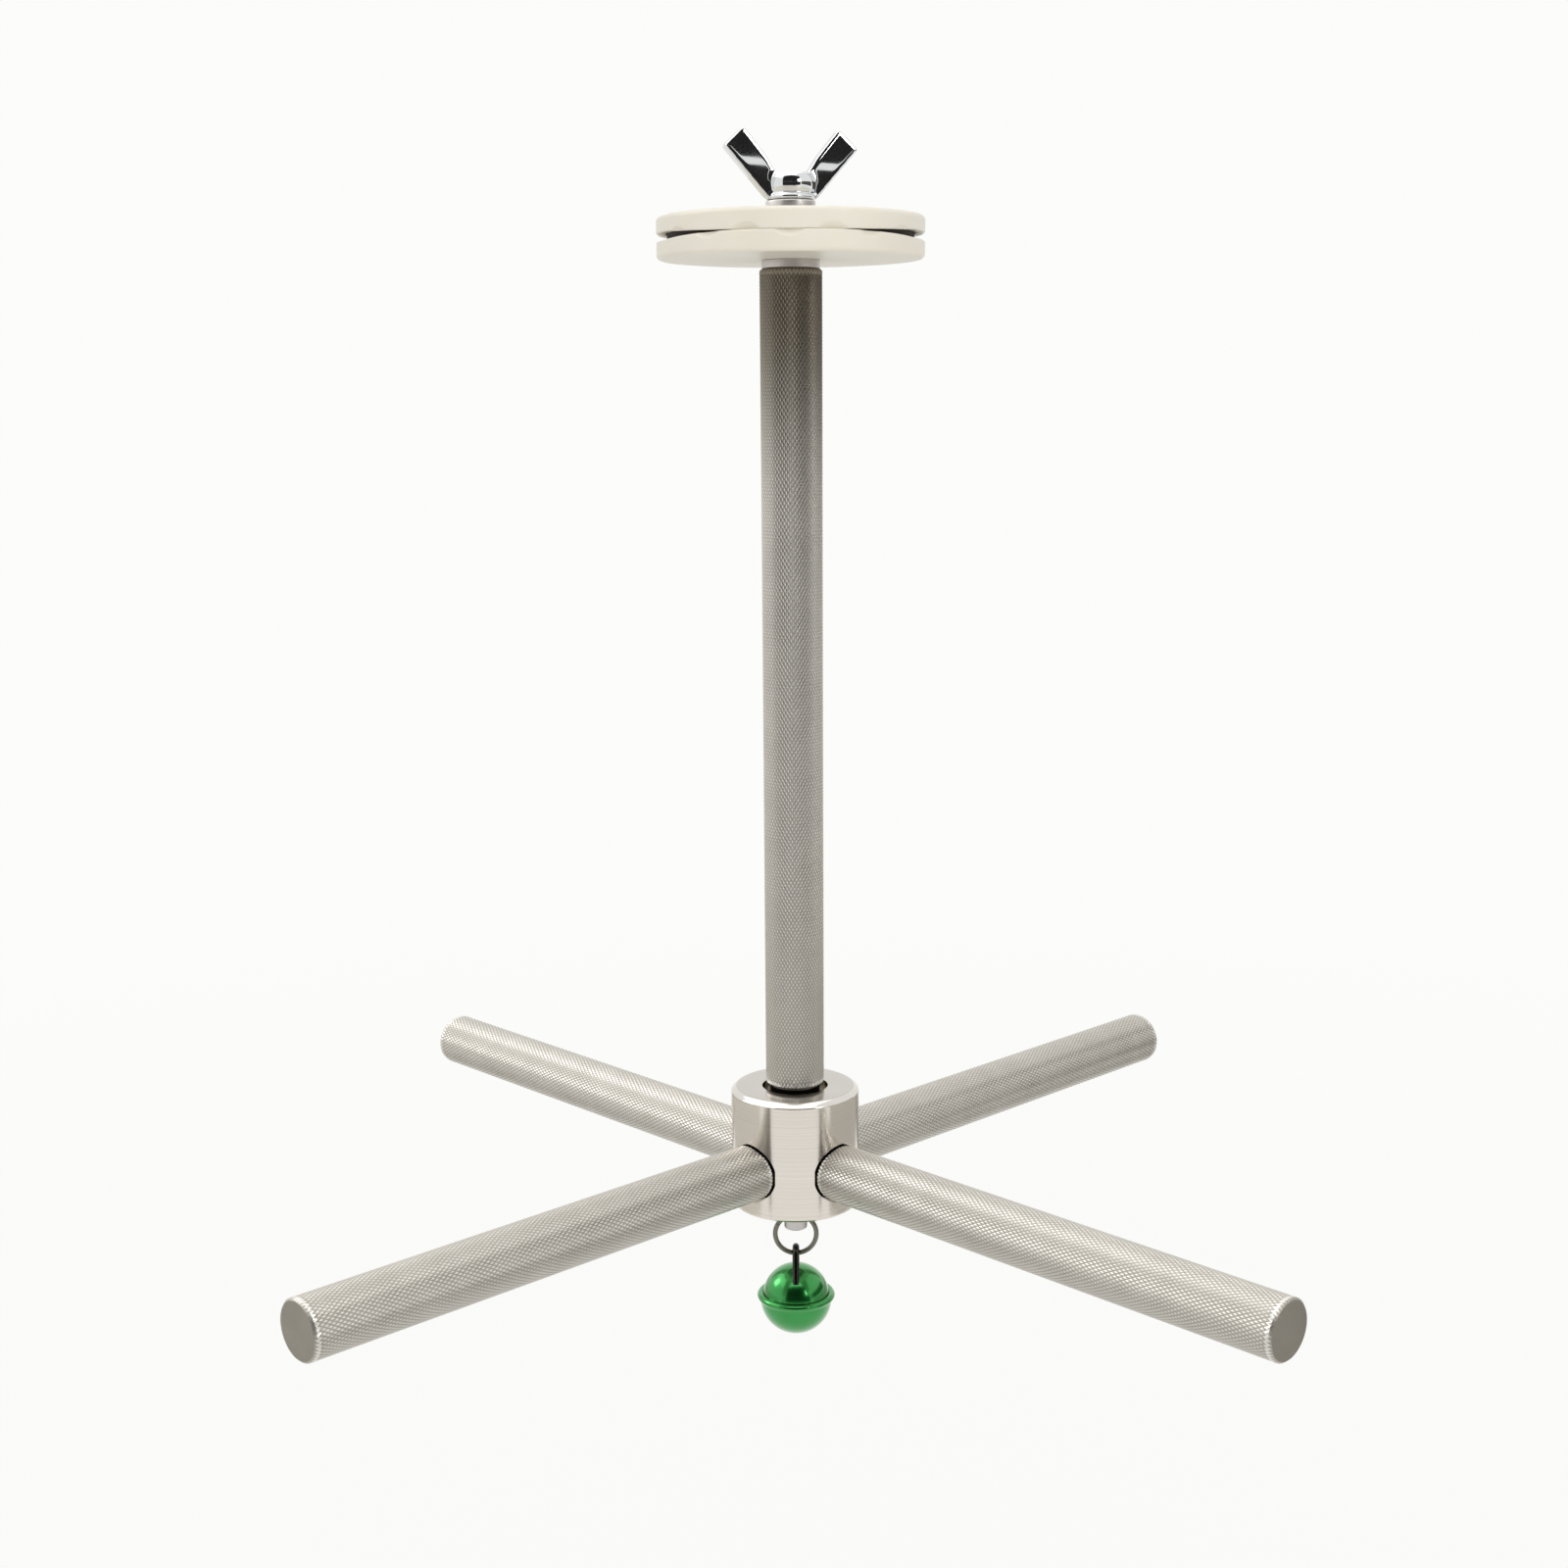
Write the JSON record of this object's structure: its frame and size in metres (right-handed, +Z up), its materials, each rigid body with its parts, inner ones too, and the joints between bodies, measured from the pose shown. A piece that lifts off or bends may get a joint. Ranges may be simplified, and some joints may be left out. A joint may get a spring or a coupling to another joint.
{
  "type": "hanging bird perch",
  "caption": "Hanging steel bird perch: a disc clamp for a cage roof, a knurled post, a free-turning hub with radial knurled arms, and a small bell below.",
  "frame": {"origin": "on the post's axis, in the plane where the two clamp discs' rims meet, where the cage wires are held", "axes": "+Z up along the post, -Y to the front, arms on the diagonals between X and Y"},
  "size_m": [0.1804, 0.1804, 0.2482],
  "materials": {
    "chromed_steel": "bright chrome plate",
    "zinc_steel": "bright zinc plate",
    "cream_plastic": "satin moulded cream",
    "black_rubber": "matt",
    "stainless_bar": "diamond knurled",
    "stainless_hub": "turned and satin brushed",
    "spring_steel": "phosphated",
    "white_nylon": "satin",
    "nickel_wire": "nickel plate",
    "dark_wire": "gloss black nickel",
    "green_lacquer": "gloss transparent lacquer"
  },
  "bodies": {
    "stem": {"post": "stainless_bar", "top_stud": "zinc_steel", "lower_disc": "cream_plastic", "lower_pad": "black_rubber", "neck_washer": "zinc_steel", "pivot_pin": "zinc_steel", "keeper_washer": "zinc_steel", "snap_ring": "spring_steel"},
    "upper_clamp": {"upper_disc": "cream_plastic", "upper_pad": "black_rubber", "top_washer": "zinc_steel", "spring_washer": "zinc_steel"},
    "nut": {"wing_nut": "chromed_steel"},
    "perch_cross": {"hub": "stainless_hub", "upper_bush": "white_nylon", "lower_bush": "white_nylon", "stud_front_left": "zinc_steel", "stud_front_right": "zinc_steel", "stud_rear_left": "zinc_steel", "stud_rear_right": "zinc_steel", "arm_front_left": "stainless_bar", "arm_front_right": "stainless_bar", "arm_rear_left": "stainless_bar", "arm_rear_right": "stainless_bar"},
    "ring": {"jump_ring": "nickel_wire"},
    "bell": {"bell_loop": "dark_wire", "bell_dome": "green_lacquer", "bell_bowl": "green_lacquer"},
    "ball": {"bell_ball": "zinc_steel"}
  },
  "joints": [
    {"name": "upper_clamp_slide", "type": "slide", "parent": "stem", "child": "upper_clamp", "axis": [0, 0, 1], "range_m": [0, 0.00301]},
    {"name": "wing_nut_spin", "type": "hinge", "parent": "upper_clamp", "child": "nut", "pos_m": [0, 0, 0.0096], "axis": [0, 0, 1], "range_deg": [0, 1080]},
    {"name": "hub_spin", "type": "hinge", "parent": "stem", "child": "perch_cross", "pos_m": [0, 0, -0.1848], "axis": [0, 0, 1], "continuous": true},
    {"name": "ring_swing", "type": "hinge", "parent": "stem", "child": "ring", "pos_m": [0, 0, -0.2015], "axis": [1, 0, 0], "range_deg": [-60, 60]},
    {"name": "bell_swing", "type": "hinge", "parent": "ring", "child": "bell", "pos_m": [0, 0, -0.20564], "axis": [0, 1, 0], "range_deg": [-60, 60]},
    {"name": "ball_roll", "type": "hinge", "parent": "bell", "child": "ball", "pos_m": [0, 0, -0.22039], "axis": [1, 0, 0], "range_deg": [-50, 50]}
  ],
  "couplings": [
    {"joint": "upper_clamp_slide", "follows": "wing_nut_spin", "m_per_rad": 0.00015915}
  ]
}
